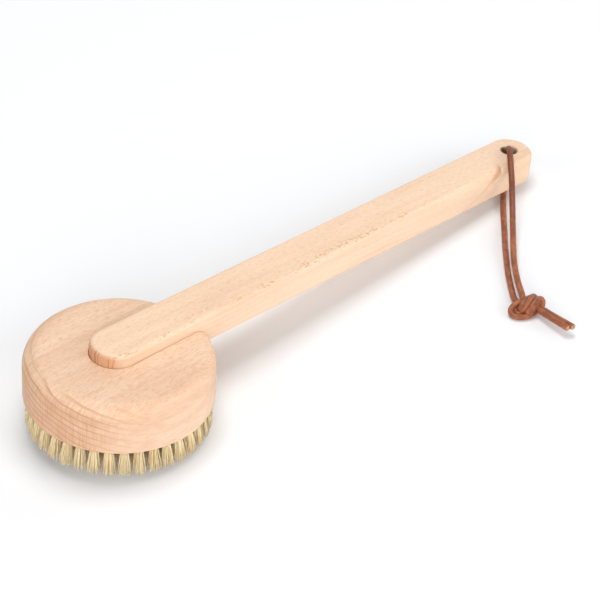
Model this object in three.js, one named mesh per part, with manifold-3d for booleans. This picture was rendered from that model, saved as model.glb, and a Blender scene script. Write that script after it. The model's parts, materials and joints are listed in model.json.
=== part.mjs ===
// Body dry brush: a round beech head with bristle tufts, a straight beech handle let into it,
// and a loop of round leather cord tied through the hole at the end of the handle.
//
// Millimetres, +Z up. The brush lies as it is put down: on the rear edge of its bristles and on the
// cord that runs under the tip of the handle. The floor is z = 0, +X runs along the handle to its tip,
// and the origin is below the middle of the wooden brush.

import * as THREE from "three";
import { ConvexGeometry } from "three/addons/geometries/ConvexGeometry.js";
import { mergeGeometries, mergeVertices } from "three/addons/utils/BufferGeometryUtils.js";
import Module from "manifold-3d";

// ---- Driving dimensions ----

const CLEARANCE = 0.3; // between pieces that touch
const OVERRUN = 1; // how far a cutter runs past what it cuts

const HEAD_RADIUS = 50;
const HEAD_HEIGHT = 28.3;
const HEAD_TOP_ROUND = 8.8; // radius of the upper edge
const HEAD_FOOT_ROUND = 1.9; // radius of the lower edge
const HEAD_SIDES = 80;

const HANDLE_LENGTH = 324.8;
const HANDLE_THICKNESS = 17.4;
const NOSE_WIDTH = 27.3; // handle width at the end that lies in the head
const TIP_WIDTH = 26.5; // handle width at the free end
const NOSE_REACH = 16.4; // from the middle of the head to the end of the handle
const HANDLE_PROUD = 7.2; // handle top above head top, at the nose
const HANDLE_DROP = THREE.MathUtils.degToRad(0.97); // handle top falls towards the tip by this angle
const HANDLE_EDGE = 2.6; // rounding of the handle's long edges
const GRIP_START = 95; // along the handle, where the upper edges begin to widen into the grip
const GRIP_END = 284; // where they are widest
const GRIP_INSET = 5.6; // how far the rounding there reaches across the top and down the side
const GRIP_DEPTH = 12.4;
const GRIP_FAR_SHARE = 0.25; // how much of that rounding the other upper edge has
const STOP_REACH = 299.1; // along the handle, the point of the cone that ends the grip's rounding
const STOP_LENGTH = 36; // length of that cone, and half axes of its wide end
const STOP_WIDTH = 57;
const STOP_DEPTH = 15.4;

const HOLE_DIAMETER = 9;
const HOLE_EASE = 0.7; // chamfer round both mouths of the hole

const DOWEL_DIAMETER = 8;
const DOWEL_LENGTH = 15;
const DOWEL_CHAMFER = 0.8;
const DOWEL_MARGIN = 13; // from the rear dowel's axis to the rim of the head, where the lap ends
const DOWEL_SPACING = 30; // between the two dowels

const BED_RIM = 2.6; // turned edge left round the drilled part of the underside
const BED_DEPTH = 5;
const TUFT_RIM = 5.6; // from the head's rim to the outermost ring of tufts
const TUFT_PITCH = 7.5; // between rings of tufts, and between the tufts of a ring
const BRISTLE_LENGTH = 14;
const BRISTLE_FLARE = 1.04; // radius of the tips over radius of the roots
const STRANDS = 3; // strands in a tuft
const ROOT_SPREAD = 1.35; // from the middle of a tuft to its strands, at the root and at the tip
const TIP_SPREAD = 2.05;
const ROOT_THICK = 0.9; // radius of a strand at the root and at the tip
const TIP_THICK = 1.0;
const TIP_UNEVEN = 0.4; // how much shorter the shortest strands are
const STRAND_SUNK = 1; // how far a strand reaches into the wood
const FLAT_CUT = 0.5; // how deep the floor trims the bristles that the head stands on
// Each bristle node and how many rings of tufts it holds, from the rim inwards; the last takes the rest.
const BRISTLE_NODES = [
  ["bristle_ring_outer", 1],
  ["bristle_ring_second", 1],
  ["bristle_ring_third", 2],
  ["bristle_ring_centre", Infinity],
];

const CORD_DIAMETER = 3.6;
const CORD_SIDES = 8;
const CORD_STEP = 6.5; // length of one step of the tube, just under two diameters
const KNOT_STEP = 2.6; // of one in the knot, where the bends are tighter
const CORD_PLAY = 0.4; // what is left over where the cord passes between the handle's tip and the floor

// The loop of cord, from inside the knot up to the handle, through the hole and back along the floor into
// the knot: x and y from the middle of the hole, z from the floor.
const LOOP_ROUTE = [
  [-79.2, -88.6, 3.4], [-77.5, -84.8, 4.3], [-74.3, -80.3, 4.9], [-67.1, -70.5, 4.6], [-57.3, -58.8, 5.4],
  [-40.4, -41.9, 9.2], [-26.3, -28.0, 15.4], [-18.0, -19.4, 21.7], [-12.4, -13.2, 25.5], [-8.0, -8.5, 26.9],
  [-4.1, -4.4, 26.8], [-0.7, -0.8, 24.4], [0.7, 0.7, 20.2], [0.9, 0.8, 16.6], [1.0, 0.7, 13.2],
  [1.0, 0.6, 9.2], [0.1, 0.1, 5.8], [-1.9, -1.4, 3.1], [-5.2, -3.7, 1.95], [-9.8, -6.9, 1.85],
  [-15.1, -11.3, 1.85], [-21.1, -16.9, 1.85], [-28.0, -23.6, 1.85], [-37.1, -32.7, 1.85],
  [-46.0, -41.6, 1.85], [-55.1, -51.0, 1.85], [-64.6, -61.4, 1.85], [-72.3, -70.8, 1.85],
  [-77.4, -77.6, 1.85], [-79.3, -82.4, 1.9], [-80.2, -86.6, 2.2],
];
const LOOP_IN_KNOT = 7.5; // how much of the route lies in the knot at each end

// The knot, about its own middle: x to the right and y away, as seen with the tails pointing at one's
// right hand, z from the floor. The cord lies double in it, so each of its turns is a pair of routes.
const KNOT_AT = [-79.7, -88.2];
const KNOT_TURN = THREE.MathUtils.degToRad(-43.9);
const WRAP_ROUTES = [
  [
    [0.3, 3.4, 4.2], [-2.3, 1.8, 5.2], [-4.8, 0.7, 5.2], [-7.0, -0.7, 4.2], [-8.2, -2.6, 3.0],
    [-7.6, -4.8, 2.1], [-5.3, -6.4, 1.9], [-2.3, -6.7, 1.9], [1.0, -5.8, 1.9], [4.4, -3.1, 1.9],
    [7.6, -0.1, 2.4], [9.2, 1.6, 3.6], [9.3, 2.9, 5.0], [8.4, 3.1, 6.3], [6.8, 2.0, 7.1],
    [4.8, -1.4, 7.2], [2.9, -4.3, 6.8], [1.5, -5.3, 5.4], [0.7, -5.0, 3.4],
  ],
  [
    [-0.2, 1.5, 2.4], [-2.6, 0.5, 3.2], [-4.6, -0.3, 2.8], [-5.7, -1.9, 2.1], [-5.0, -3.7, 1.9],
    [-2.5, -4.4, 1.9], [0.6, -3.5, 1.9], [3.7, -1.2, 1.9], [6.8, 1.3, 2.4], [8.3, 2.3, 3.6],
    [8.3, 3.1, 4.8], [7.0, 1.8, 5.6], [5.3, -1.7, 5.8], [3.5, -4.4, 5.4], [2.5, -5.2, 4.2],
    [1.9, -5.1, 2.6],
  ],
];
const CROSS_ROUTES = [
  [
    [5.8, 7.0, 2.0], [5.6, 7.0, 4.2], [4.1, 5.4, 6.2], [2.3, 0.9, 7.5], [0.6, -2.6, 7.6],
    [-0.8, -4.1, 6.5], [-2.0, -4.2, 4.8], [-2.5, -3.4, 3.0],
  ],
  [
    [4.2, 6.8, 2.0], [3.4, 6.8, 4.0], [1.7, 4.4, 5.7], [-0.4, 0.7, 6.6], [-2.1, -2.6, 6.5],
    [-2.8, -3.4, 5.2], [-2.7, -2.8, 3.0],
  ],
];
const TAIL_ROUTES = [
  [[1.6, 6.0, 2.6], [5.1, 2.1, 3.0], [9.0, -2.7, 3.8], [15.0, -10.0, 5.0], [24.4, -20.9, 6.7]],
  [[0.8, 4.1, 2.8], [4.3, -0.1, 3.4], [7.5, -4.3, 4.2], [14.0, -12.3, 5.2], [21.5, -21.7, 6.6]],
];
const KNOT_CORE = [5.0, 3.4, 2.4]; // half axes of the packed middle of the knot
const KNOT_CORE_AT = [0.6, 0.4, 2.9];

// ---- Finishes ----

const BEECH = new THREE.MeshStandardMaterial({ color: 0xeed0ae, roughness: 0.62, metalness: 0 });
const DOWEL_WOOD = new THREE.MeshStandardMaterial({ color: 0xdcb98f, roughness: 0.7, metalness: 0 });
const BRISTLE = new THREE.MeshStandardMaterial({ color: 0xe6d9b4, roughness: 0.75, metalness: 0 });
const LEATHER = new THREE.MeshStandardMaterial({ color: 0x8a4f31, roughness: 0.6, metalness: 0 });

// ---- Solids ----

const wasm = await Module();
wasm.setup();

// A closed geometry as a solid that can be joined and cut.
function solid(geometry) {
  const bare = geometry.clone();
  bare.deleteAttribute("normal");
  bare.deleteAttribute("uv");
  const merged = mergeVertices(bare, 1e-4);
  return new wasm.Manifold(
    new wasm.Mesh({
      numProp: 3,
      vertProperties: new Float32Array(merged.attributes.position.array),
      triVerts: new Uint32Array(merged.index.array),
    }),
  );
}

function geometryOf(body) {
  const mesh = body.getMesh();
  const geometry = new THREE.BufferGeometry();
  geometry.setAttribute("position", new THREE.BufferAttribute(mesh.vertProperties, 3));
  geometry.setIndex(new THREE.BufferAttribute(mesh.triVerts, 1));
  geometry.computeVertexNormals();
  return geometry;
}

function named(name, geometry, material) {
  const mesh = new THREE.Mesh(geometry, material);
  mesh.name = name;
  return mesh;
}

// Points of a quarter round from one angle to another, for a lathe profile.
function arcPoints(x, y, radius, from, to, steps) {
  const points = [];
  for (let i = 0; i <= steps; i++) {
    const angle = from + ((to - from) * i) / steps;
    points.push(new THREE.Vector2(x + radius * Math.cos(angle), y + radius * Math.sin(angle)));
  }
  return points;
}

// ---- Handle, in its own frame: x from the nose to the tip, z = 0 on its top face ----

const NOSE_RADIUS = NOSE_WIDTH / 2;
const TIP_RADIUS = TIP_WIDTH / 2;
const HOLE_X = HANDLE_LENGTH - TIP_RADIUS; // the hole shares its middle with the round tip

// The handle's plan, grown by a margin.
function handleOutline(margin) {
  const nose = NOSE_RADIUS + margin;
  const tip = TIP_RADIUS + margin;
  const outline = new THREE.Shape();
  outline.absarc(NOSE_RADIUS, 0, nose, Math.PI / 2, (3 * Math.PI) / 2, false);
  outline.absarc(HOLE_X, 0, tip, -Math.PI / 2, Math.PI / 2, false);
  return outline;
}

function edgedBar() {
  const geometry = new THREE.ExtrudeGeometry(handleOutline(0), {
    depth: HANDLE_THICKNESS - 2 * HANDLE_EDGE,
    bevelThickness: HANDLE_EDGE,
    bevelSize: HANDLE_EDGE,
    bevelOffset: -HANDLE_EDGE,
    bevelSegments: 5,
    curveSegments: 16,
  });
  geometry.translate(0, 0, HANDLE_EDGE - HANDLE_THICKNESS);
  return solid(geometry);
}

// Half the handle's width at a distance along it, on the straight taper from nose to tip.
function halfWidth(x) {
  return THREE.MathUtils.mapLinear(x, NOSE_RADIUS, HOLE_X, NOSE_RADIUS, TIP_RADIUS);
}

// A section of the grip: it runs out below the handle and both upper corners are a quarter of an ellipse.
function gripSection(x, inset, depth) {
  const half = halfWidth(x);
  const corner = arcPoints(0, 0, 1, 0, Math.PI / 2, 8);
  const sides = [[-1, 1], [1, GRIP_FAR_SHARE]];
  return sides.flatMap(([side, share]) => {
    const edge = corner.map((point) => [
      half - share * inset * (1 - point.x),
      -share * depth * (1 - point.y),
    ]);
    edge.unshift([half, -HANDLE_THICKNESS - OVERRUN]);
    return edge.map(([y, z]) => new THREE.Vector3(x, side * y, z));
  });
}

// The bar's own rounding stays up to the grip, whose corners widen and then keep on to the tip.
function gripHull() {
  const sections = [
    gripSection(-OVERRUN, 0, 0),
    gripSection(GRIP_START, 0, 0),
    gripSection(GRIP_END, GRIP_INSET, GRIP_DEPTH),
    gripSection(HANDLE_LENGTH + OVERRUN, GRIP_INSET, GRIP_DEPTH),
  ];
  const stretches = sections.slice(1).map((section, i) => [...sections[i], ...section]);
  return wasm.Manifold.union(stretches.map((points) => solid(new ConvexGeometry(points))));
}

// Everything outside the cone that ends the grip: the full section of the tip, seen as a slanting step.
function tipRegion() {
  const start = STOP_REACH - STOP_LENGTH;
  const length = HANDLE_LENGTH + OVERRUN - start;
  const block = new THREE.BoxGeometry(length, 2 * TIP_WIDTH, 2 * HANDLE_THICKNESS);
  block.translate(start + length / 2, 0, -HANDLE_THICKNESS / 2);
  const cone = new THREE.ConeGeometry(1, STOP_LENGTH, 64);
  cone.rotateZ(-Math.PI / 2);
  cone.scale(1, STOP_WIDTH, STOP_DEPTH);
  cone.translate(start + STOP_LENGTH / 2, 0, 0);
  return solid(block).subtract(solid(cone));
}

function holeCutter() {
  const radius = HOLE_DIAMETER / 2;
  const half = HANDLE_THICKNESS / 2;
  const profile = [
    new THREE.Vector2(0, -half - OVERRUN),
    new THREE.Vector2(radius + HOLE_EASE + OVERRUN, -half - OVERRUN),
    new THREE.Vector2(radius, -half + HOLE_EASE),
    new THREE.Vector2(radius, half - HOLE_EASE),
    new THREE.Vector2(radius + HOLE_EASE + OVERRUN, half + OVERRUN),
    new THREE.Vector2(0, half + OVERRUN),
  ];
  const geometry = new THREE.LatheGeometry(profile, 32);
  geometry.rotateX(Math.PI / 2);
  geometry.translate(HOLE_X, 0, -half);
  return solid(geometry);
}

const LAP_END = NOSE_REACH + HEAD_RADIUS; // where the handle leaves the head
const DOWEL_REAR = LAP_END - DOWEL_MARGIN;
const DOWEL_PLACES = [DOWEL_REAR - DOWEL_SPACING, DOWEL_REAR];

// A dowel standing half in the handle and half in the head, grown by a margin.
function dowel(at, margin) {
  const radius = DOWEL_DIAMETER / 2 + margin;
  const half = DOWEL_LENGTH / 2 + margin;
  const profile = [
    new THREE.Vector2(0, -half),
    new THREE.Vector2(radius - DOWEL_CHAMFER, -half),
    new THREE.Vector2(radius, -half + DOWEL_CHAMFER),
    new THREE.Vector2(radius, half - DOWEL_CHAMFER),
    new THREE.Vector2(radius - DOWEL_CHAMFER, half),
    new THREE.Vector2(0, half),
  ];
  const geometry = new THREE.LatheGeometry(profile, 20);
  geometry.rotateX(Math.PI / 2);
  geometry.translate(at, 0, -HANDLE_THICKNESS);
  return geometry;
}

function handleSolid() {
  const bar = edgedBar();
  let body = bar.intersect(gripHull()).add(bar.intersect(tipRegion()));
  body = body.subtract(holeCutter());
  for (const at of DOWEL_PLACES) body = body.subtract(solid(dowel(at, CLEARANCE)));
  return body;
}

// ---- Head, in the brush's frame: z = 0 on its top, x towards the handle's tip ----

function placeOnHead(object) {
  object.position.set(-NOSE_REACH, 0, HANDLE_PROUD);
  object.rotation.y = HANDLE_DROP;
  object.updateMatrix();
  return object;
}

const ON_HEAD = placeOnHead(new THREE.Group()).matrix;

function turnedBlock() {
  const crown = arcPoints(
    HEAD_RADIUS - HEAD_TOP_ROUND, -HEAD_TOP_ROUND, HEAD_TOP_ROUND, 0, Math.PI / 2, 8);
  const foot = arcPoints(
    HEAD_RADIUS - HEAD_FOOT_ROUND, HEAD_FOOT_ROUND - HEAD_HEIGHT, HEAD_FOOT_ROUND, -Math.PI / 2, 0, 3);
  const profile = [
    new THREE.Vector2(0, -HEAD_HEIGHT), ...foot, ...crown, new THREE.Vector2(0, 0),
  ];
  const geometry = new THREE.LatheGeometry(profile, HEAD_SIDES);
  geometry.rotateX(Math.PI / 2);
  return solid(geometry);
}

// The stopped slot that the handle lies in, open at the rear of the head.
function slotCutter() {
  const geometry = new THREE.ExtrudeGeometry(handleOutline(CLEARANCE), {
    depth: HANDLE_THICKNESS + CLEARANCE + HANDLE_PROUD,
    bevelEnabled: false,
    curveSegments: 16,
  });
  geometry.translate(0, 0, -HANDLE_THICKNESS - CLEARANCE);
  geometry.applyMatrix4(ON_HEAD);
  return solid(geometry);
}

const BED_RADIUS = HEAD_RADIUS - BED_RIM;

function bedCutter() {
  const depth = BED_DEPTH + CLEARANCE;
  const radius = BED_RADIUS + CLEARANCE;
  const geometry = new THREE.CylinderGeometry(radius, radius, 2 * depth, HEAD_SIDES);
  geometry.rotateX(Math.PI / 2);
  geometry.translate(0, 0, -HEAD_HEIGHT);
  return solid(geometry);
}

function headSolid() {
  let body = turnedBlock().subtract(slotCutter()).subtract(bedCutter());
  for (const at of DOWEL_PLACES) {
    const hole = dowel(at, CLEARANCE);
    hole.applyMatrix4(ON_HEAD);
    body = body.subtract(solid(hole));
  }
  return body;
}

// ---- Bristles ----

const OUTER_RING = HEAD_RADIUS - TUFT_RIM; // radius of the outermost ring of tufts, at the roots

// Radii of all rings of tufts, from the rim inwards, as long as a ring has room for its tufts.
function ringRadii() {
  const radii = [];
  for (let radius = OUTER_RING; radius > 0.75 * TUFT_PITCH; radius -= TUFT_PITCH) radii.push(radius);
  return radii;
}

// A slice of the head's underside between two radii.
function bedSlice(inner, outer) {
  const top = BED_DEPTH - HEAD_HEIGHT;
  const profile = [
    new THREE.Vector2(inner, -HEAD_HEIGHT),
    new THREE.Vector2(outer, -HEAD_HEIGHT),
    new THREE.Vector2(outer, top),
    new THREE.Vector2(inner, top),
  ];
  if (inner > 0) profile.push(profile[0].clone());
  const geometry = new THREE.LatheGeometry(profile, HEAD_SIDES);
  geometry.rotateX(Math.PI / 2);
  return solid(geometry);
}

// A three-sided strand from root to tip, standing on the underside.
function strand(root, tip, turn) {
  const length = tip.distanceTo(root);
  const geometry = new THREE.CylinderGeometry(TIP_THICK, ROOT_THICK, length, 3, 1);
  geometry.rotateY(turn);
  const up = new THREE.Vector3(0, 1, 0);
  const along = tip.clone().sub(root).normalize();
  geometry.applyQuaternion(new THREE.Quaternion().setFromUnitVectors(up, along));
  geometry.translate(...root.clone().add(tip).multiplyScalar(0.5).toArray());
  return geometry;
}

function tuft(radius, angle, index) {
  const strands = [];
  for (let i = 0; i < STRANDS; i++) {
    const around = angle + (2 * Math.PI * i) / STRANDS;
    const shorter = TIP_UNEVEN * (0.5 + 0.5 * Math.sin(7.3 * index + 2.1 * i));
    const place = (r, spread, z) =>
      new THREE.Vector3(
        r * Math.cos(angle) + spread * Math.cos(around),
        r * Math.sin(angle) + spread * Math.sin(around),
        z,
      );
    const root = place(radius, ROOT_SPREAD, STRAND_SUNK - HEAD_HEIGHT);
    const tip = place(radius * BRISTLE_FLARE, TIP_SPREAD, shorter - BRISTLE_LENGTH - HEAD_HEIGHT);
    strands.push(strand(root, tip, around));
  }
  return strands;
}

// The space above the floor, as seen from the tilted brush.
function aboveFloor(brush) {
  const size = 4 * HANDLE_LENGTH;
  const block = new THREE.BoxGeometry(size, size, size);
  block.translate(0, 0, size / 2);
  block.applyMatrix4(brush.matrix.clone().invert());
  return solid(block);
}

function ringOfTufts(radius, index) {
  const count = Math.round((2 * Math.PI * radius) / TUFT_PITCH);
  const step = (2 * Math.PI) / count;
  const start = 0.5 * step * (index % 2); // every other ring is turned by half a step
  const tufts = Array.from({ length: count }, (_, i) => tuft(radius, start + step * i, i + index));
  return tufts.flat();
}

// One node for each stretch of rings: its strands, fused to its slice of the bed.
function bristleRings(brush) {
  const radii = ringRadii();
  const floor = aboveFloor(brush);
  const half = (TUFT_PITCH - CLEARANCE) / 2; // from a ring of tufts to the edge of its slice
  let first = 0;
  return BRISTLE_NODES.map(([name, rings]) => {
    const last = Math.min(first + rings, radii.length);
    const outer = first === 0 ? BED_RADIUS : radii[first] + half;
    const inner = last === radii.length ? 0 : radii[last - 1] - half;
    const strands = radii.slice(first, last).flatMap((radius, i) => ringOfTufts(radius, first + i));
    const body = bedSlice(inner, outer).add(solid(mergeGeometries(strands))).intersect(floor);
    first = last;
    return named(name, geometryOf(body), BRISTLE);
  });
}

// ---- Leather loop ----

// The part of a curve between two distances along it.
class Stretch extends THREE.Curve {
  constructor(curve, from, to) {
    super();
    this.curve = curve;
    this.from = from / curve.getLength();
    this.to = to / curve.getLength();
  }
  getPoint(t, target = new THREE.Vector3()) {
    return this.curve.getPointAt(THREE.MathUtils.lerp(this.from, this.to, t), target);
  }
}

function smooth(points) {
  const curve = new THREE.CatmullRomCurve3(points.map((p) => new THREE.Vector3(...p)), false, "centripetal");
  curve.arcLengthDivisions = 800;
  return curve;
}

function tube(curve, step) {
  const section = new THREE.Shape();
  section.absarc(0, 0, CORD_DIAMETER / 2, 0, 2 * Math.PI, false);
  return new THREE.ExtrudeGeometry(section, {
    steps: Math.ceil(curve.getLength() / step),
    curveSegments: CORD_SIDES,
    extrudePath: curve,
    bevelEnabled: false,
  });
}

function knotSolid(loop) {
  const length = loop.getLength();
  const inKnot = (geometry) => geometry.rotateZ(KNOT_TURN).translate(...KNOT_AT, 0);
  const core = new THREE.SphereGeometry(1, 16, 10);
  core.rotateX(Math.PI / 2);
  core.scale(...KNOT_CORE);
  core.translate(...KNOT_CORE_AT);
  let body = solid(inKnot(core));
  for (const route of [...WRAP_ROUTES, ...CROSS_ROUTES, ...TAIL_ROUTES]) {
    body = body.add(solid(inKnot(tube(smooth(route), KNOT_STEP))));
  }
  for (const [from, to] of [[0, LOOP_IN_KNOT], [length - LOOP_IN_KNOT, length]]) {
    body = body.add(solid(tube(new Stretch(loop, from, to), KNOT_STEP)));
  }
  return body;
}

// Distance along the loop at which it passes the middle of the hole.
function distanceToHole(loop, height) {
  const samples = 400;
  let best = 0;
  let nearest = Infinity;
  for (let i = 0; i <= samples; i++) {
    const point = loop.getPointAt(i / samples);
    const miss = Math.hypot(point.x, point.y, point.z - height);
    if (miss < nearest) {
      nearest = miss;
      best = i / samples;
    }
  }
  return best * loop.getLength();
}

function leatherLoop(holeHeight) {
  const loop = smooth(LOOP_ROUTE);
  const length = loop.getLength();
  const middle = distanceToHole(loop, holeHeight);
  const upper = new Stretch(loop, LOOP_IN_KNOT + CLEARANCE, middle - CLEARANCE / 2);
  const lower = new Stretch(loop, middle + CLEARANCE / 2, length - LOOP_IN_KNOT - CLEARANCE);
  return [
    named("cord_upper", tube(upper, CORD_STEP), LEATHER),
    named("cord_lower", tube(lower, CORD_STEP), LEATHER),
    named("knot", geometryOf(knotSolid(loop)), LEATHER),
  ];
}

// ---- Assembly ----

// The brush leans back on its bristles until only the cord fits between its tip and the floor.
function layDown(brush) {
  const along = HOLE_X + TIP_RADIUS - HANDLE_EDGE;
  const under = new THREE.Vector3(along, 0, -HANDLE_THICKNESS).applyMatrix4(ON_HEAD);
  const heel = OUTER_RING * BRISTLE_FLARE + TIP_SPREAD;
  const run = under.x - heel;
  const rise = under.z + HEAD_HEIGHT + BRISTLE_LENGTH;
  const lift = CORD_DIAMETER + CORD_PLAY + FLAT_CUT;
  const tilt = Math.atan2(rise, run) - Math.asin(lift / Math.hypot(run, rise));
  brush.rotation.y = tilt;
  brush.position.z = heel * Math.sin(tilt) + (HEAD_HEIGHT + BRISTLE_LENGTH) * Math.cos(tilt) - FLAT_CUT;
  brush.updateMatrix();
}

const brush = new THREE.Group();
layDown(brush);
brush.add(named("head_block", geometryOf(headSolid()), BEECH));
brush.add(...bristleRings(brush));

const lap = placeOnHead(new THREE.Group());
lap.add(named("handle", geometryOf(handleSolid()), BEECH));
DOWEL_PLACES.forEach((at, i) => {
  lap.add(named(["dowel_front", "dowel_rear"][i], dowel(at, 0), DOWEL_WOOD));
});
brush.add(lap);
brush.updateMatrixWorld(true);

const hole = lap.localToWorld(new THREE.Vector3(HOLE_X, 0, -HANDLE_THICKNESS / 2));
const cord = new THREE.Group();
cord.position.set(hole.x, hole.y, 0);
cord.add(...leatherLoop(hole.z));

// The origin lies below the middle of the wooden brush.
const extent = new THREE.Box3().setFromObject(brush, true);
const root = new THREE.Group();
root.position.x = -(extent.min.x + extent.max.x) / 2;
root.add(brush, cord);
const part = new THREE.Group();
part.add(root);

export default part;
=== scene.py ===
"""Dresses the body dry brush: oiled beech, tufts of natural bristle and a knotted leather loop.

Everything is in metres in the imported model's frame: the floor is z = 0 and +X runs along the
handle. Where a size is easier to read in millimetres, it is written as a number times MM.
"""

import json
import math
import random

import bpy
from mathutils import Euler, Matrix, Vector, noise


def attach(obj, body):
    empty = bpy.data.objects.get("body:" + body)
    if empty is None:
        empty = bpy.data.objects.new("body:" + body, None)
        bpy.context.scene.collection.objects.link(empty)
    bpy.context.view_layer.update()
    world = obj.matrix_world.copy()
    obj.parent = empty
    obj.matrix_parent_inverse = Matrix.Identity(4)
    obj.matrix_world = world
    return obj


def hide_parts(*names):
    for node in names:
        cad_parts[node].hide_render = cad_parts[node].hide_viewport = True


MM = 0.001

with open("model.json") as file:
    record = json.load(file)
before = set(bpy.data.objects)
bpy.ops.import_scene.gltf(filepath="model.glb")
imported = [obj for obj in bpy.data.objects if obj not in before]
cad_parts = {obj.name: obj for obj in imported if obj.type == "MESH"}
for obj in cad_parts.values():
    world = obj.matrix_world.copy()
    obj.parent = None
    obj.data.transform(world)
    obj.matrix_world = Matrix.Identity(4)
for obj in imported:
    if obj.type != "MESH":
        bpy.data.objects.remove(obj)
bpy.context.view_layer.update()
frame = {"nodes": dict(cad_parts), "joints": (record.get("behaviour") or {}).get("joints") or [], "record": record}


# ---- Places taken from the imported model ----

def mount(name):
    return next(m for m in frame["record"]["mounts"] if m["name"] == name)


def local_frame(mount_name, along):
    """A wooden piece's own frame: its origin on its top, its x along the handle, its z off the top.

    along is where the mount lies on the piece's own x.
    """
    up = Vector(mount(mount_name)["axis"]).normalized()
    ahead = Vector((up.z, 0, -up.x))
    origin = Vector(mount(mount_name)["pos_m"]) - along * ahead
    side = up.cross(ahead)
    turn = Matrix((ahead, side, up)).transposed().to_4x4()
    return Matrix.Translation(origin) @ turn


# Where the two mounts lie on their pieces' own x.
HEAD_BACK_AT = -30 * MM
GRIP_TOP_AT = 150 * MM

HEAD = local_frame("head_back", HEAD_BACK_AT)  # origin at the middle of the head's top
HANDLE = local_frame("grip_top", GRIP_TOP_AT)  # origin at the end of the handle that lies in the head
SWIVEL = Vector(frame["joints"][0]["pos_m"])  # the middle of the hanging hole

# Turns that bring each piece's own axes onto the world's, for its shader.
NO_TURN = (0, 0, 0)
HEAD_TILT = (0, -math.asin(mount("head_back")["axis"][0]), 0)
HANDLE_TILT = (0, -math.asin(mount("grip_top")["axis"][0]), 0)


# ---- Camera ----

CAMERA = {
    "aim": Vector((-48.8, -51.5, 64.6)) * MM,
    "distance": 1221.2 * MM,
    "azimuth": math.radians(-42.91),
    "elevation": math.radians(40.01),
    "roll": math.radians(-0.57),
    "lens": 143.1,
    "sensor": 36,
}


def make_camera():
    azimuth, elevation = CAMERA["azimuth"], CAMERA["elevation"]
    level = math.cos(elevation)
    back = Vector((math.sin(azimuth) * level, -math.cos(azimuth) * level, math.sin(elevation)))
    camera = bpy.data.objects.new("camera", bpy.data.cameras.new("camera"))
    bpy.context.scene.collection.objects.link(camera)
    look = (-back).to_track_quat("-Z", "Y").to_matrix().to_4x4()
    place = Matrix.Translation(CAMERA["aim"] + CAMERA["distance"] * back)
    camera.matrix_world = place @ look @ Matrix.Rotation(CAMERA["roll"], 4, "Z")
    camera.data.lens = CAMERA["lens"]
    camera.data.sensor_width = CAMERA["sensor"]
    bpy.context.scene.camera = camera


# ---- Shader building ----

def rgb(red, green, blue):
    """A colour as it is seen, each part from 0 to 255, as the linear values that shaders take."""
    def linear(value):
        share = value / 255
        return share / 12.92 if share <= 0.04045 else ((share + 0.055) / 1.055) ** 2.4

    return (linear(red), linear(green), linear(blue), 1.0)


class Shader:
    """A node material with a Principled surface, and short calls for the nodes that feed it."""

    def __init__(self, name, surface):
        """surface holds the Principled node's plain values."""
        self.material = bpy.data.materials.new(name)
        self.material.use_nodes = True
        self.tree = self.material.node_tree
        self.surface = self.tree.nodes["Principled BSDF"]
        for socket, value in surface.items():
            self.surface.inputs[socket].default_value = value

    def node(self, kind, inputs=None, **settings):
        made = self.tree.nodes.new(kind)
        for key, value in settings.items():
            setattr(made, key, value)
        for key, value in (inputs or {}).items():
            if isinstance(value, bpy.types.NodeSocket):
                self.tree.links.new(value, made.inputs[key])
            else:
                made.inputs[key].default_value = value
        return made

    def coordinates(self, turn, scale):
        """The piece's own coordinates, turned and then scaled along each axis."""
        place = self.node("ShaderNodeTexCoord").outputs["Object"]
        turned = self.node("ShaderNodeMapping", {"Vector": place, "Rotation": turn}).outputs[0]
        return self.node("ShaderNodeMapping", {"Vector": turned, "Scale": scale}).outputs[0]

    def along_axis(self, turn, axis, output="Object"):
        """One turned coordinate of the piece, or of its surface's direction."""
        source = self.node("ShaderNodeTexCoord").outputs[output]
        turned = self.node("ShaderNodeMapping", {"Vector": source, "Rotation": turn}).outputs[0]
        return self.node("ShaderNodeSeparateXYZ", {0: turned}).outputs[axis]

    def from_origin(self, turn, origin):
        """The three turned coordinates, measured from an origin given in the world."""
        start = Euler(turn).to_matrix() @ origin
        return [self.math("SUBTRACT", self.along_axis(turn, axis), start[axis]) for axis in range(3)]

    def noise(self, vector, detail, roughness=0.5):
        inputs = {"Vector": vector, "Scale": 1.0, "Detail": detail, "Roughness": roughness}
        return self.node("ShaderNodeTexNoise", inputs).outputs["Fac"]

    def patches(self, turn, cells, span, full=1.0, detail=1):
        """Soft patches, from 0 where a noise is below span to full where it is above.

        cells counts the noise's cells per metre along each turned axis.
        """
        return self.remap(self.noise(self.coordinates(turn, cells), detail), *span, 0.0, full)

    def remap(self, value, low, high, to_low=0.0, to_high=1.0):
        inputs = {"Value": value, "From Min": low, "From Max": high, "To Min": to_low, "To Max": to_high}
        return self.node("ShaderNodeMapRange", inputs, interpolation_type="SMOOTHSTEP").outputs[0]

    def math(self, operation, a, b=0.0):
        return self.node("ShaderNodeMath", {0: a, 1: b}, operation=operation).outputs[0]

    def product(self, first, *others):
        for value in others:
            first = self.math("MULTIPLY", first, value)
        return first

    def distance(self, a, b):
        """The length of a line that goes a along one axis and b along another."""
        return self.math("SQRT", self.math("ADD", self.product(a, a), self.product(b, b)))

    def mix(self, factor, a, b):
        return self.node("ShaderNodeMix", {0: factor, 6: a, 7: b}, data_type="RGBA").outputs[2]

    def colour(self, value):
        self.tree.links.new(value, self.surface.inputs["Base Color"])

    def bump(self, height, distance, strength):
        inputs = {"Height": height, "Distance": distance, "Strength": strength}
        self.tree.links.new(self.node("ShaderNodeBump", inputs).outputs[0], self.surface.inputs["Normal"])


# ---- Beech ----

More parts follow.
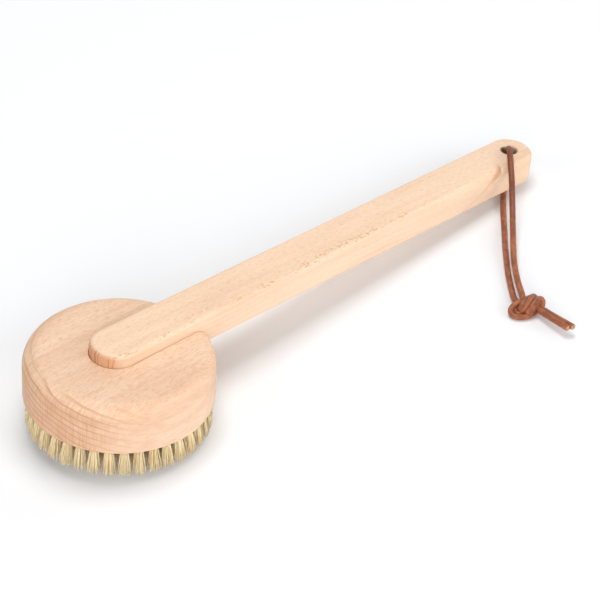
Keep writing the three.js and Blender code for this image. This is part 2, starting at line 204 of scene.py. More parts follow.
# How the head's wood looks; the other pieces' looks change some of these. rings, dashes, flecks and
# end_hatch say how strongly each of them shows.
HEAD_LOOK = {
    "light": rgb(243, 210, 181),
    "dark": rgb(231, 191, 160),
    "line": rgb(200, 144, 103),
    "dash": rgb(206, 154, 112),
    "fleck": rgb(204, 148, 84),
    "hatch": rgb(166, 108, 66),
    "end": rgb(212, 158, 118),
    "end_share": 0.42,  # how strongly end grain is tinted
    "end_hatch": 0.15,
    "end_facing": (0.55, 0.98),  # how far the surface faces along the grain, for no and full end grain
    # Middle of the piece along the grain, and how far off it end grain begins and is full.
    "ends_at": (-127 * MM, 10 * MM, 30 * MM),
    "pith": (0.02, -0.14),  # where the growth rings' middle runs, across and up
    "ring_spacing": 3.5 * MM,
    "rings": 0.8,
    "rings_on_top": 0.06,
    "rings_fade": (0.676, -0.737, -104 * MM, -62 * MM),  # a level direction, and where rings fade along it
    "dashes": 0.42,
    "dashes_on_sides": 0.55,
    "flecks": 0.2,
    "fleck_patches": (0.5, 0.62),
    "flecks_across": (60 * MM, -40 * MM),  # where across the piece there are none, and where the most
}
HANDLE_LOOK = {
    **HEAD_LOOK,
    "light": rgb(247, 216, 187),
    "dark": rgb(239, 203, 172),
    "end_share": 0.85,
    "end_hatch": 0.55,
    "end_facing": (0.3, 0.9),
    "ends_at": (17 * MM, 147 * MM, 157 * MM),
    "pith": (-0.05, -0.2),
    "rings": 0.15,
    "rings_fade": (0, 0, 1, 2),  # nowhere
    "dashes": 0.3,
    "dashes_on_sides": 0.45,
    "flecks": 0.65,
    "fleck_patches": (0.36, 0.52),
    "flecks_across": (-5 * MM, -10 * MM),
}
DOWEL_LOOK = {**HANDLE_LOOK, "light": rgb(232, 200, 164), "dark": rgb(214, 176, 136), "flecks": 0.5}

# Noises in the wood, in cells per metre along, across and through the piece.
CLOUD_CELLS = (11, 45, 45)
STREAK_CELLS = (22, 360, 240)
TONE_SPAN = (0.36, 0.66)
CLOUD_SHARE = 0.62  # of clouds in the tone; the rest is streaks
RING_WANDER_CELLS = (12, 26, 26)
RING_WANDER = 2.2  # how far a ring wanders, in ring spacings
RING_RISE = (0.55, 0.9)  # from one ring to the next, where a line begins and is darkest
RING_FALL = (0.9, 1.0)
RING_PATCHES = {"cells": (16, 16, 40), "span": (0.3, 0.6)}
RING_BANDS = {"cells": (9, 16, 230), "span": (0.48, 0.66), "full": 0.25}
RING_LEVEL = (0.8, 0.99)  # how level the surface is where the rings on the side fade to those on top
RAY_ON_TOP = (300, 1900, 150)
RAY_ON_SIDE = (300, 150, 1900)
RAY_ROUGHNESS = 0.45
RAY_SPAN = (0.5, 0.66)
RAY_TURN = (0.5, 0.85)  # how far the surface faces sideways where rays pass from flat to upright
FLECK_CELLS = (300, 900, 900)
FLECK_SIZE = (0.2, 0.5)  # of a cell: where a fleck is full, and where it ends
FLECK_PATCH_CELLS = (34, 170, 120)
FLECK_TOP = (0.5, 0.9)  # how far the surface faces sideways where flecks thin out to none
FLECK_ALONG = (60 * MM, 100 * MM)  # where they thin out towards the tip
END_HATCH = {"cells": (60, 1100, 60), "span": (0.48, 0.6)}
GRAIN_DEPTH = 0.05 * MM
GRAIN_STRENGTH = 0.5


def facing(shader, turn, axis):
    """How far the surface faces one turned axis, either way, from 0 to 1."""
    return shader.math("ABSOLUTE", shader.along_axis(turn, axis, "Normal"))


def end_grain(shader, turn, look):
    """Where the surface faces along the grain, near the ends of the piece."""
    middle, near, far = look["ends_at"]
    off = shader.math("ABSOLUTE", shader.math("SUBTRACT", shader.along_axis(turn, 0), middle))
    return shader.product(
        shader.remap(facing(shader, turn, 0), *look["end_facing"]),
        shader.remap(off, near, far),
    )


def ring_lines(shader, turn, look):
    """Soft lines where the surface cuts the growth rings, which run round a far pith."""
    spacing = look["ring_spacing"]
    across, up = look["pith"]
    across = shader.math("SUBTRACT", shader.along_axis(turn, 1), across)
    up = shader.math("SUBTRACT", shader.along_axis(turn, 2), up)
    wander = shader.noise(shader.coordinates(turn, RING_WANDER_CELLS), detail=2)
    wander = shader.math("MULTIPLY", wander, RING_WANDER * spacing)
    reach = shader.math("ADD", shader.distance(across, up), wander)
    share = shader.math("FRACT", shader.math("DIVIDE", reach, spacing))
    return shader.product(shader.remap(share, *RING_RISE), shader.remap(share, *RING_FALL, 1.0, 0.0))


def rings_seen(shader, turn, look):
    """How strongly rings show: in patches, less on top, and fading out along one level direction."""
    along, across, low, high = look["rings_fade"]
    along = shader.math("MULTIPLY", shader.along_axis(turn, 0), along)
    across = shader.math("MULTIPLY", shader.along_axis(turn, 1), across)
    return shader.product(
        shader.patches(turn, **RING_PATCHES),
        look["rings"],
        shader.remap(shader.math("ADD", along, across), low, high, 1.0, 0.0),
        shader.remap(facing(shader, turn, 2), *RING_LEVEL, 1.0, look["rings_on_top"]),
    )


def rays(shader, turn, sideways):
    """Rays cut across: short dashes along the grain on top, upright lines on the sides."""
    flat = shader.noise(shader.coordinates(turn, RAY_ON_TOP), 2, RAY_ROUGHNESS)
    upright = shader.noise(shader.coordinates(turn, RAY_ON_SIDE), 2, RAY_ROUGHNESS)
    return shader.mix(shader.remap(sideways, *RAY_TURN), flat, upright)


def flecks(shader, turn, look, sideways):
    """Small dark flecks in patches, on top of the piece and towards one edge."""
    cell = {"Vector": shader.coordinates(turn, FLECK_CELLS), "Scale": 1.0, "Randomness": 1.0}
    speck = shader.node("ShaderNodeTexVoronoi", cell)
    return shader.product(
        shader.remap(speck.outputs["Distance"], *FLECK_SIZE, 1.0, 0.0),
        shader.patches(turn, FLECK_PATCH_CELLS, look["fleck_patches"]),
        shader.remap(shader.along_axis(turn, 1), *look["flecks_across"]),
        shader.remap(sideways, *FLECK_TOP, 1.0, 0.0),
        shader.remap(shader.along_axis(turn, 0), *FLECK_ALONG, 1.0, 0.0),
        look["flecks"],
    )


def beech(name, turn, look, shades=None):
    """Pale beech: soft cloudy tone, end grain, growth rings, rays and flecks.

    turn lays the grain along the piece. shades, if given, makes painted shade that lies over the wood.
    """
    shader = Shader(name, {"Roughness": 0.52, "Specular IOR Level": 0.26})
    cloud = shader.noise(shader.coordinates(turn, CLOUD_CELLS), detail=3)
    streak = shader.noise(shader.coordinates(turn, STREAK_CELLS), detail=3)
    tone = shader.math(
        "ADD", shader.product(cloud, CLOUD_SHARE), shader.product(streak, 1 - CLOUD_SHARE)
    )
    wood = shader.mix(shader.remap(tone, *TONE_SPAN), look["light"], look["dark"])

    end = end_grain(shader, turn, look)
    wood = shader.mix(shader.product(end, look["end_share"]), wood, look["end"])

    seen = rings_seen(shader, turn, look)
    line = shader.product(ring_lines(shader, turn, look), seen)
    band = shader.product(shader.patches(turn, **RING_BANDS), seen)
    wood = shader.mix(shader.math("MAXIMUM", band, line), wood, look["line"])

    sideways = facing(shader, turn, 1)
    ray = rays(shader, turn, sideways)
    dash = shader.product(
        shader.remap(ray, *RAY_SPAN),
        shader.remap(sideways, *RAY_TURN, 1.0, look["dashes_on_sides"]),
        look["dashes"],
    )
    wood = shader.mix(dash, wood, look["dash"])
    wood = shader.mix(flecks(shader, turn, look, sideways), wood, look["fleck"])

    hatch = shader.product(shader.patches(turn, **END_HATCH), look["end_hatch"], end)
    wood = shader.mix(hatch, wood, look["hatch"])
    # Painted shade, if given, laid over the wood.
    for shade, shade_colour in shades(shader) if shades else ():
        wood = shader.mix(shade, wood, shade_colour)
    shader.colour(wood)
    shader.bump(shader.math("ADD", streak, ray), GRAIN_DEPTH, GRAIN_STRENGTH)
    return shader.material


# The cone that ends the grip's rounding before the tip: where its point is along the handle, its
# length, and the half axes of its wide end.
STOP_REACH = 299.1 * MM
STOP_LENGTH = 36 * MM
STOP_WIDTH = 57 * MM
STOP_DEPTH = 15.4 * MM

# The soft shadow line along that cone: it deepens up to the cone and ends just past it, and fades
# towards the middle of the handle's top and down its side.
STOP_SHADE_DEEPENS = (-5 * MM, -0.6 * MM)
STOP_SHADE_ENDS = (0.0, 0.6 * MM)
STOP_SHADE_ACROSS = (-10 * MM, -4 * MM)
STOP_SHADE_DOWN = (-8 * MM, -3 * MM)
STOP_SHADE = 0.55
STOP_SHADE_LOW = 0.3  # share of it that is left low on the side

# Painted shade inside the drilled hole: where it fades out from the hole's axis, and its strength.
HOLE_SHADE_REACH = (4.3 * MM, 5.3 * MM)  # from the hole's axis
HOLE_SHADE = 0.85


def handle_shades(shader):
    """A painted soft shadow line where the grip's rounding ends, and painted shade inside the drilled hole."""
    along, across, up = shader.from_origin(HANDLE_TILT, HANDLE.translation)
    spread = shader.distance(
        shader.math("DIVIDE", across, STOP_WIDTH), shader.math("DIVIDE", up, STOP_DEPTH)
    )
    ahead = shader.math("SUBTRACT", STOP_REACH, along)
    off = shader.math("SUBTRACT", shader.math("MULTIPLY", spread, STOP_LENGTH), ahead)
    line = shader.product(
        shader.remap(off, *STOP_SHADE_DEEPENS),
        shader.remap(off, *STOP_SHADE_ENDS, 1.0, 0.0),
        shader.remap(across, *STOP_SHADE_ACROSS, STOP_SHADE, 0.0),
        shader.remap(up, *STOP_SHADE_DOWN, STOP_SHADE_LOW, 1.0),
    )
    # Painted shade inside the drilled hole, fading out from its axis.
    x, y, _ = shader.from_origin(NO_TURN, SWIVEL)
    hole = shader.remap(shader.distance(x, y), *HOLE_SHADE_REACH, HOLE_SHADE, 0.0)
    return ((line, rgb(196, 148, 102)), (hole, rgb(112, 68, 42)))


# ---- Bristle and leather ----

# Noises in the bristles and the leather, in cells per metre.
STRAND_TONE = {"cells": (2200, 2200, 30), "span": (0.36, 0.62), "detail": 2}
TUFT_WARMTH = {"cells": (260, 260, 50), "span": (0.45, 0.7), "full": 0.25}
LEATHER_MOTTLE = {"cells": (260, 260, 260), "span": (0.35, 0.68), "detail": 3}
CUT_FIBRE = {"cells": (1400, 1400, 1400), "span": (0.35, 0.65), "detail": 3}

# Painted shade on the bristles, below the head: at their roots and deep in the inner tufts.
ROOT_PAINTED_SHADE = 0.3  # in the wood, falling to nothing over this length of bristle
ROOT_PAINTED_SHADE_LENGTH = 4 * MM
INNER_PAINTED_SHADE = 0.9  # near the wood, in the tufts inside the outermost ring
INNER_PAINTED_SHADE_DEPTHS = (14 * MM, 6 * MM)  # below the wood, where there is none of it and where it is full
INNER_SHADE_EDGE = (4 * MM, 2 * MM)  # inside the outermost ring, where the inner tufts begin

FIBRE_STRETCH = (22, 1.1, 1)  # cells round the cord and along it
FIBRE_SPAN = (0.46, 0.7)
FIBRE_SHARE = 0.6
FIBRE_DEPTH = 0.08 * MM
DARKER_UP = (5 * MM, 22 * MM)  # heights between which the cord darkens towards the handle
DARKER_SHARE = 0.55


def bristle_material():
    """Cream bristle: each strand a little lighter or darker; painted shade makes it browner at its root and
    further in.
    """
    shader = Shader("natural_bristle", {
        "Roughness": 0.36,
        "Specular IOR Level": 0.5,
        "Sheen Weight": 1.0,
        "Sheen Roughness": 0.5,
        "Sheen Tint": rgb(255, 226, 170),
    })
    strand = shader.patches(NO_TURN, **STRAND_TONE)
    cream = shader.mix(strand, rgb(255, 226, 168), rgb(255, 245, 212))
    cream = shader.mix(shader.patches(NO_TURN, **TUFT_WARMTH), cream, rgb(246, 206, 136))

    x, y, z = shader.from_origin(HEAD_TILT, HEAD.translation)
    # Painted shade: browner at the roots, just below the wood.
    root = shader.remap(z, UNDERSIDE - ROOT_PAINTED_SHADE_LENGTH, UNDERSIDE, 0.0, ROOT_PAINTED_SHADE)
    root_shaded = shader.mix(root, cream, rgb(186, 132, 76))
    # Painted shade deep in the tufts inside the outermost ring, near the wood.
    low, high = (UNDERSIDE - depth for depth in INNER_PAINTED_SHADE_DEPTHS)
    inner, outer = (OUTER_RING - inset for inset in INNER_SHADE_EDGE)
    painted_deep_shade = shader.product(
        shader.remap(shader.distance(x, y), inner, outer, 1.0, 0.0),
        shader.remap(z, low, high, 0.0, INNER_PAINTED_SHADE),
    )
    shader.colour(shader.mix(painted_deep_shade, root_shaded, rgb(136, 86, 44)))
    return shader.material


def leather_material():
    """Round leather cord: reddish brown with fine lengthwise fibres and a soft gloss."""
    shader = Shader("brown_leather", {"Roughness": 0.42, "Specular IOR Level": 0.35})
    mottle = shader.patches(NO_TURN, **LEATHER_MOTTLE)
    brown = shader.mix(mottle, rgb(148, 84, 56), rgb(178, 110, 74))
    place = shader.node("ShaderNodeTexCoord").outputs["UV"]
    along = shader.node("ShaderNodeMapping", {"Vector": place, "Scale": FIBRE_STRETCH}).outputs[0]
    fibre = shader.noise(along, detail=4, roughness=0.6)
    brown = shader.mix(shader.remap(fibre, *FIBRE_SPAN, 0.0, FIBRE_SHARE), brown, rgb(88, 42, 24))
    height = shader.along_axis(NO_TURN, 2)
    brown = shader.mix(shader.remap(height, *DARKER_UP, 0.0, DARKER_SHARE), brown, rgb(96, 46, 34))
    shader.colour(brown)
    shader.bump(fibre, FIBRE_DEPTH, strength=0.6)
    return shader.material


def cut_leather_material():
    """The pale, fibrous core that shows where the cord is cut."""
    shader = Shader("cut_leather", {"Roughness": 0.8, "Specular IOR Level": 0.2})
    fibre = shader.patches(NO_TURN, **CUT_FIBRE)
    shader.colour(shader.mix(fibre, rgb(166, 114, 80), rgb(216, 178, 140)))
    return shader.material


# ---- Mesh building ----

CURVE_STEPS = 40  # points worked out between two points of a route
ROUNDING = 1e-12  # allowed for when two lengths are compared

# Which of the four knots each straight mix runs between, round by round.
MIX_SPANS = (((0, 1), (1, 2), (2, 3)), ((0, 2), (1, 3)), ((1, 2),))


def catmull_rom(t, points, knots):
    """One point of the curve, by repeated straight mixing of its four control points."""
    mixed = list(points)
    for spans in MIX_SPANS:
        mixed = [
            a.lerp(b, (t - knots[i]) / (knots[j] - knots[i]))
            for a, b, (i, j) in zip(mixed, mixed[1:], spans)
        ]
    return mixed[0]


def smooth_route(points, spacing):
    """Points at an even spacing on a centripetal Catmull-Rom curve through the route's points."""
    points = [Vector(p) for p in points]
    points = [2 * points[0] - points[1], *points, 2 * points[-1] - points[-2]]
    fine = []
    for a, b, c, d in zip(points, points[1:], points[2:], points[3:]):
        knots = [0.0]
        for start, end in ((a, b), (b, c), (c, d)):
            knots.append(knots[-1] + math.sqrt((end - start).length))
        for i in range(CURVE_STEPS):
            t = knots[1] + (knots[2] - knots[1]) * i / CURVE_STEPS
            fine.append(catmull_rom(t, (a, b, c, d), knots))
    fine.append(points[-2])
    return even(fine, spacing)


def length_of(path):
    return sum((b - a).length for a, b in zip(path, path[1:]))


def even(path, spacing):
    """The same path with its points a fixed distance apart."""
    total = length_of(path)
    count = max(2, round(total / spacing))
    made = [path[0].copy()]
    gone = 0.0
    for a, b in zip(path, path[1:]):
        step = (b - a).length
        while step > 0 and gone + step >= total * len(made) / count - ROUNDING and len(made) < count:
            share = (total * len(made) / count - gone) / step
            made.append(a.lerp(b, share))
        gone += step
    made.append(path[-1].copy())
    return made


def first_across(path):
    """A direction at a right angle to the start of a path."""
    ahead = path[1] - path[0]
    spare = Vector((0, 0, 1)) if abs(ahead.normalized().z) < 0.9 else Vector((1, 0, 0))
    return ahead.cross(spare).normalized()


def uneven(point):
    """A smooth value from about -1 to 1 that changes over some millimetres."""
    return noise.noise(point / (3 * MM))


class Builder:
    """Gathers faces with UVs and material numbers, and makes one mesh of them."""

    def __init__(self):
        self.vertices = []
        self.faces = []
        self.uvs = []
        self.slots = []

    def face(self, corners, uvs=None, slot=0):
        self.faces.append(corners)
        self.uvs.extend(uvs or ((0, 0),) * len(corners))
        self.slots.append(slot)

    def tube(self, path, radii, sides, cut_end=False, unevenness=0.0):
        """A tube along a path with one radius per point, closed at both ends."""
        across = first_across(path)
        start = len(self.vertices)
        gone = 0.0
        for i, point in enumerate(path):
            ahead = (path[min(i + 1, len(path) - 1)] - path[max(i - 1, 0)]).normalized()
            across = (across - across.dot(ahead) * ahead).normalized()
            beside = ahead.cross(across)
            for k in range(sides):
                angle = 2 * math.pi * k / sides
                out = math.cos(angle) * across + math.sin(angle) * beside
                bulge = 1 + unevenness * uneven(point + radii[i] * out)
                self.vertices.append(point + radii[i] * bulge * out)
        for i in range(len(path) - 1):
            step = (path[i + 1] - path[i]).length
            for k in range(sides):
                low = start + i * sides
                following = (k + 1) % sides
                corners = (low + k, low + following, low + sides + following, low + sides + k)
                u, v = k / sides, gone / (2 * math.pi * radii[0])
                w = v + step / (2 * math.pi * radii[0])
                self.face(corners, ((u, v), (u + 1 / sides, v), (u + 1 / sides, w), (u, w)))
            gone += step
        last = start + (len(path) - 1) * sides
        self.face(tuple(start + k for k in reversed(range(sides))), ((0.5, 0.5),) * sides)
        self.face(tuple(last + k for k in range(sides)), ((0.5, 0.5),) * sides, int(cut_end))

    def finish(self, name, materials, smooth=True):
        mesh = bpy.data.meshes.new(name)
        mesh.from_pydata(self.vertices, [], self.faces)
        layer = mesh.uv_layers.new(name="UVMap")
        layer.data.foreach_set("uv", [part for uv in self.uvs for part in uv])
        mesh.polygons.foreach_set("material_index", self.slots)
        for material in materials:
            mesh.materials.append(material)
        if smooth:
            mesh.shade_smooth()
        mesh.update()
        made = bpy.data.objects.new(name, mesh)
        bpy.context.scene.collection.objects.link(made)
        return made


# ---- Leather loop ----

CORD_DIAMETER = 3.6 * MM
CORD_RADIUS = 0.49 * CORD_DIAMETER  # as drawn: the cord's unevenness comes on top
CORD_UNEVEN = 0.035
CORD_SIDES = 16
CORD_STEP = 0.8 * MM
CUT_WEAR = 0.86  # radius of a cut end over the cord's

# The loop in millimetres, from inside the knot up to the handle, through the hole and back along the
# floor into the knot: x and y from the middle of the hole, z from the floor.
LOOP_ROUTE = [
    (-79.2, -88.6, 3.4), (-77.5, -84.8, 4.3), (-74.3, -80.3, 4.9), (-67.1, -70.5, 4.6),
    (-57.3, -58.8, 5.4), (-40.4, -41.9, 9.2), (-26.3, -28, 15.4), (-18, -19.4, 21.7),
    (-12.4, -13.2, 25.5), (-8, -8.5, 26.9), (-4.1, -4.4, 26.8), (-0.7, -0.8, 24.4), (0.7, 0.7, 20.2),
    (0.9, 0.8, 16.6), (1, 0.7, 13.2), (1, 0.6, 9.2), (0.1, 0.1, 5.8), (-1.9, -1.4, 3.1),
    (-5.2, -3.7, 1.95), (-9.8, -6.9, 1.85), (-15.1, -11.3, 1.85), (-21.1, -16.9, 1.85),
    (-28, -23.6, 1.85), (-37.1, -32.7, 1.85), (-46, -41.6, 1.85), (-55.1, -51, 1.85),
    (-64.6, -61.4, 1.85), (-72.3, -70.8, 1.85), (-77.4, -77.6, 1.85), (-79.3, -82.4, 1.9),
    (-80.2, -86.6, 2.2),
]

# The knot in millimetres, about its own middle: x to the right and y away, as seen with the tails
# pointing at one's right hand, z from the floor. The cord lies double in it, so each turn is a pair.
KNOT_AT = Vector((-79.7, -88.2, 0)) * MM
KNOT_TURN = math.radians(-43.9)
WRAP_ROUTES = [
    [
        (0.3, 3.4, 4.2), (-2.3, 1.8, 5.2), (-4.8, 0.7, 5.2), (-7, -0.7, 4.2), (-8.2, -2.6, 3),
        (-7.6, -4.8, 2.1), (-5.3, -6.4, 1.9), (-2.3, -6.7, 1.9), (1, -5.8, 1.9), (4.4, -3.1, 1.9),
        (7.6, -0.1, 2.4), (9.2, 1.6, 3.6), (9.3, 2.9, 5), (8.4, 3.1, 6.3), (6.8, 2, 7.1),
        (4.8, -1.4, 7.2), (2.9, -4.3, 6.8), (1.5, -5.3, 5.4), (0.7, -5, 3.4),
    ],
    [
        (-0.2, 1.5, 2.4), (-2.6, 0.5, 3.2), (-4.6, -0.3, 2.8), (-5.7, -1.9, 2.1), (-5, -3.7, 1.9),
        (-2.5, -4.4, 1.9), (0.6, -3.5, 1.9), (3.7, -1.2, 1.9), (6.8, 1.3, 2.4), (8.3, 2.3, 3.6),
        (8.3, 3.1, 4.8), (7, 1.8, 5.6), (5.3, -1.7, 5.8), (3.5, -4.4, 5.4), (2.5, -5.2, 4.2),
        (1.9, -5.1, 2.6),
    ],
]
CROSS_ROUTES = [
    [
        (5.8, 7, 2), (5.6, 7, 4.2), (4.1, 5.4, 6.2), (2.3, 0.9, 7.5), (0.6, -2.6, 7.6),
        (-0.8, -4.1, 6.5), (-2, -4.2, 4.8), (-2.5, -3.4, 3),
    ],
    [
        (4.2, 6.8, 2), (3.4, 6.8, 4), (1.7, 4.4, 5.7), (-0.4, 0.7, 6.6), (-2.1, -2.6, 6.5),
        (-2.8, -3.4, 5.2), (-2.7, -2.8, 3),
    ],
]
TAIL_ROUTES = [
    [
        (1.6, 6, 2.6), (5.1, 2.1, 3), (9, -2.7, 3.8), (15, -10, 5), (24.4, -20.9, 6.7),
    ],
    [
        (0.8, 4.1, 2.8), (4.3, -0.1, 3.4), (7.5, -4.3, 4.2), (14, -12.3, 5.2), (21.5, -21.7, 6.6),
    ],
]
KNOT_CORE = (5, 3.4, 2.4)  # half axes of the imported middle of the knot
KNOT_CORE_AT = (0.6, 0.4, 2.9)
KNOT_CORE_RINGS = 12
KNOT_CORE_SIDES = 20


def from_hole(points):
    """The loop's points, from millimetres about the hole to the model's frame."""
    hole = Vector((SWIVEL.x, SWIVEL.y, 0))
    return [hole + Vector(point) * MM for point in points]


def in_knot(points):
    """A knot's points, from millimetres about its middle to the model's frame."""
    place = Matrix.Translation((SWIVEL.x, SWIVEL.y, 0)) @ Matrix.Translation(KNOT_AT)
    place = place @ Matrix.Rotation(KNOT_TURN, 4, "Z")
    return [place @ (Vector(point) * MM) for point in points]


def strand_of_cord(builder, path, cut_end=False):
    """One stretch of the cord; where it ends in a cut, its last edge is a little worn."""
    radii = [CORD_RADIUS] * len(path)
    if cut_end:
        radii[-1] *= CUT_WEAR
    builder.tube(path, radii, CORD_SIDES, cut_end, CORD_UNEVEN)


def packed_middle(builder):
    """The cord that is hidden in the knot, as one lump below the turns that show."""
    rings, sides = KNOT_CORE_RINGS, KNOT_CORE_SIDES
    for i in range(1, rings):
        down = math.pi * i / rings
        ring = []
        for k in range(sides):
            angle = 2 * math.pi * k / sides
            out = (math.sin(down) * math.cos(angle), math.sin(down) * math.sin(angle), math.cos(down))
            ring.append([at + half * part for at, half, part in zip(KNOT_CORE_AT, KNOT_CORE, out)])
        start = len(builder.vertices)
        builder.vertices.extend(in_knot(ring))
        if i > 1:
            for k in range(sides):
                a, b = start + k, start + (k + 1) % sides
                builder.face((a - sides, a, b, b - sides))
        else:
            builder.face(tuple(range(start, start + sides)))
    last = len(builder.vertices) - sides
    builder.face(tuple(last + k for k in reversed(range(sides))))


def make_knot(leather, cut):
    knot = Builder()
    packed_middle(knot)
    for route in (*WRAP_ROUTES, *CROSS_ROUTES):
        strand_of_cord(knot, smooth_route(in_knot(route), CORD_STEP))
    for route in TAIL_ROUTES:
        strand_of_cord(knot, smooth_route(in_knot(route), CORD_STEP), cut_end=True)
    knot = knot.finish("leather_knot", [leather, cut])
    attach(knot, "hanging_loop")
    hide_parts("knot")
    return knot


def make_loop(leather, cut):
    """The knot, and the cord's two runs from the middle of the hole into it."""
    knot = make_knot(leather, cut)
    loop = smooth_route(from_hole(LOOP_ROUTE), CORD_STEP)
    middle = min(range(len(loop)), key=lambda i: (loop[i] - SWIVEL).length)
    runs = {"cord_upper": loop[middle::-1], "cord_lower": loop[middle:]}
    for node, path in runs.items():
        run = Builder()
        strand_of_cord(run, path)
        run = run.finish(node.replace("cord", "leather"), [leather])
        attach(run, "hanging_loop")
        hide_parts(node)


# ---- Bristles ----

HEAD_RADIUS = 50 * MM
UNDERSIDE = -28.3 * MM  # below the head's top
OUTER_RING = HEAD_RADIUS - 5.6 * MM
TUFT_PITCH = 7.5 * MM
SMALLEST_RING = 0.75 * TUFT_PITCH
BED_RADIUS = HEAD_RADIUS - 2.31 * MM
BED_DEPTH = 5 * MM
BED_MIDDLE = 0.4 * MM  # radius of the flat at the middle of the bed's hidden top
BED_SIDES = 96
BRISTLE_LENGTH = 14 * MM
BRISTLE_SUNK = 1 * MM  # how far a bristle reaches into the wood
BRISTLE_FLARE = 1.04  # radius of a ring at the tips over its radius at the roots
BRISTLE_BOW = 0.22 * MM
BRISTLE_POINTS = (0, 0.33, 0.67, 1)  # shares of a bristle's length, and its radii there
BRISTLE_RADII = (0.24 * MM, 0.24 * MM, 0.19 * MM, 0.13 * MM)
TUFT_ROOT = 1.45 * MM  # radius of a tuft where it leaves the wood, and at its tips
TUFT_TIP = 3.8 * MM
TIP_STRAY = 0.12  # how far a tip strays in or out in its tuft, as a share of the tuft's radius
TIP_HEIGHTS = (-1.5 * MM, 0.5 * MM)  # of a tip over the end of its tuft, at least and at most
TIPS_REACH = 48.75 * MM  # no tip stands further from the middle of the head
FLOOR_GAP = 0.05 * MM  # no tip comes nearer to the floor
INNER_TUFT, OUTER_TUFT = 48, 84  # bristles drawn in a tuft: the outermost ring shows most
BRISTLE_SEED = 11

# Each node of bristles and how many rings of tufts it has; the last takes all that are left.
BRISTLE_NODES = (
    ("bristle_ring_outer", 1),
    ("bristle_ring_second", 1),
    ("bristle_ring_third", 2),
    ("bristle_ring_centre", 9),
)


def ring_radii():
    """Radii of all rings of tufts, from the rim inwards."""
    count = math.ceil((OUTER_RING - SMALLEST_RING) / TUFT_PITCH)
    return [OUTER_RING - i * TUFT_PITCH for i in range(count)]


def bristle(rng, centre_root, centre_tip, outwards):
    """The path of one bristle of a tuft: nearly straight, a little bowed, and cut at the floor."""
    around = rng.uniform(0, 2 * math.pi)
    share = math.sqrt(rng.random())
    beside = Vector((-outwards.y, outwards.x, 0))
    off = math.cos(around) * outwards + math.sin(around) * beside
    root = centre_root + TUFT_ROOT * share * off
    tip = centre_tip + TUFT_TIP * (share + rng.uniform(-TIP_STRAY, TIP_STRAY)) * off
    tip += Vector((0, 0, rng.uniform(*TIP_HEIGHTS)))
    spread = Vector((tip.x, tip.y)).length
    if spread > TIPS_REACH:
        tip.x, tip.y = tip.x * TIPS_REACH / spread, tip.y * TIPS_REACH / spread
    bow = Vector((rng.gauss(0, BRISTLE_BOW), rng.gauss(0, BRISTLE_BOW), 0))
    path = [HEAD @ (root.lerp(tip, t) + 4 * t * (1 - t) * bow) for t in BRISTLE_POINTS]
    path[-1].z = max(path[-1].z, FLOOR_GAP)
    return path


def add_tuft(builder, rng, radius, angle, strands):
    outwards = Vector((math.cos(angle), math.sin(angle), 0))
    root = radius * outwards + Vector((0, 0, UNDERSIDE + BRISTLE_SUNK))
    tip = radius * BRISTLE_FLARE * outwards + Vector((0, 0, UNDERSIDE - BRISTLE_LENGTH))
    for _ in range(strands):
        builder.tube(bristle(rng, root, tip, outwards), BRISTLE_RADII, sides=3)


def make_bristles(material):
    rng = random.Random(BRISTLE_SEED)
    radii = ring_radii()
    first = 0
    for node, rings in BRISTLE_NODES:
        ring_group = Builder()
        for index in range(first, min(first + rings, len(radii))):
            radius = radii[index]
            count = round(2 * math.pi * radius / TUFT_PITCH)
            strands = OUTER_TUFT if index == 0 else INNER_TUFT
            for i in range(count):
                angle = 2 * math.pi * (i + 0.5 * (index % 2)) / count
                add_tuft(ring_group, rng, radius, angle, strands)
        first += rings
        piece = ring_group.finish(node.replace("ring", "tufts"), [material])
        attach(piece, "brush")
        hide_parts(node)


def make_bed(material):
    """The underside of the head that the tufts stand in, as one plain disc."""
    bed = Builder()
    top = UNDERSIDE + BED_DEPTH
    rims = ((BED_MIDDLE, top), (BED_RADIUS, top), (BED_RADIUS, UNDERSIDE))
    for radius, z in rims:
        for k in range(BED_SIDES):
            angle = 2 * math.pi * k / BED_SIDES
            bed.vertices.append(HEAD @ Vector((radius * math.cos(angle), radius * math.sin(angle), z)))
    for ring in range(len(rims) - 1):
        for k in range(BED_SIDES):
            a, b = ring * BED_SIDES + k, ring * BED_SIDES + (k + 1) % BED_SIDES
            bed.face((a, a + BED_SIDES, b + BED_SIDES, b))
    lowest = (len(rims) - 1) * BED_SIDES
    bed.face(tuple(lowest + k for k in reversed(range(BED_SIDES))))
    bed.face(tuple(range(BED_SIDES)))
    piece = bed.finish("bristle_bed", [material], smooth=False)
    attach(piece, "brush")
    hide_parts(*(node for node, _ in BRISTLE_NODES))


# ---- Wood ----

def dress_wood(head_wood, handle_wood, dowel_wood):
    """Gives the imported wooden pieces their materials; their shapes stay."""
    dressed = {
        "head_block": head_wood,
        "handle": handle_wood,
        "dowel_front": dowel_wood,
        "dowel_rear": dowel_wood,
    }
    for node, material in dressed.items():
        mesh = frame["nodes"][node].data
        mesh.materials.clear()
        mesh.materials.append(material)


# ---- Studio ----

FLOOR_REACH = 6.0
FLOOR_LIT = (0.9, 0.905, 0.915, 1)  # what it throws back on the brush
FLOOR_SEEN = (0.945, 0.96, 0.98, 1)  # what the camera sees of it, also in a gloss
WORLD_STRENGTH = 0.04

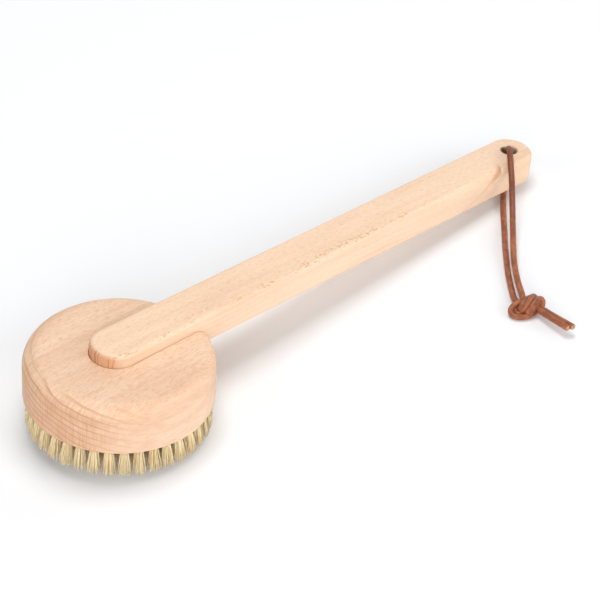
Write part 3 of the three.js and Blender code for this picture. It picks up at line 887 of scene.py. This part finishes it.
# Soft lamps that all look at the brush: name, place in metres, width of the disk, watts.
LAMPS = (
    ("key", (0.11, 0.2, 1.59), 1.0, 13.5),
    ("behind", (1.493, 1.606, 0.976), 1.9, 12),
    ("left", (-2.137, 0.49, 0.976), 1.9, 17.5),
    ("front", (-1.493, -1.606, 0.976), 1.9, 27.5),
    ("front_right", (0.645, -2.096, 0.976), 1.9, 23),
    ("right", (2.137, -0.49, 0.976), 1.9, 13),
)


def make_floor():
    """A pale floor that looks nearly white where it is seen and keeps the brush's shadow."""
    floor = Builder()
    corners = ((-1, -1), (1, -1), (1, 1), (-1, 1))
    floor.vertices = [Vector((x * FLOOR_REACH, y * FLOOR_REACH, 0)) for x, y in corners]
    floor.face((0, 1, 2, 3), ((0, 0), (1, 0), (1, 1), (0, 1)))
    shader = Shader("studio_floor", {"Roughness": 0.9, "Specular IOR Level": 0.0})
    ray = shader.node("ShaderNodeLightPath").outputs
    seen = shader.math("MAXIMUM", ray["Is Camera Ray"], ray["Is Glossy Ray"])
    seen = shader.math("MAXIMUM", seen, ray["Is Transmission Ray"])
    shader.colour(shader.mix(seen, FLOOR_LIT, FLOOR_SEEN))
    made = floor.finish("studio_floor", [shader.material], smooth=False)


def make_studio():
    make_floor()
    for name, place, width, watts in LAMPS:
        light = bpy.data.lights.new(name, "AREA")
        light.shape = "DISK"
        light.size = width
        light.energy = watts
        lamp = bpy.data.objects.new(name, light)
        bpy.context.scene.collection.objects.link(lamp)
        lamp.location = place
        lamp.rotation_euler = (-Vector(place)).to_track_quat("-Z", "Y").to_euler()
    world = bpy.data.worlds.new("studio")
    bpy.context.scene.world = world
    world.use_nodes = True
    background = world.node_tree.nodes["Background"]
    background.inputs["Color"].default_value = (1, 1, 1, 1)
    background.inputs["Strength"].default_value = WORLD_STRENGTH
    bpy.context.scene.view_settings.view_transform = "Standard"


# ---- Assembly ----

make_camera()
make_loop(leather_material(), cut_leather_material())
make_bristles(bristle_material())

head_wood = beech("beech_head", HEAD_TILT, HEAD_LOOK)
handle_wood = beech("beech_handle", HANDLE_TILT, HANDLE_LOOK, handle_shades)
dowel_wood = beech("beech_dowel", HANDLE_TILT, DOWEL_LOOK, handle_shades)
dress_wood(head_wood, handle_wood, dowel_wood)
make_bed(head_wood)
make_studio()
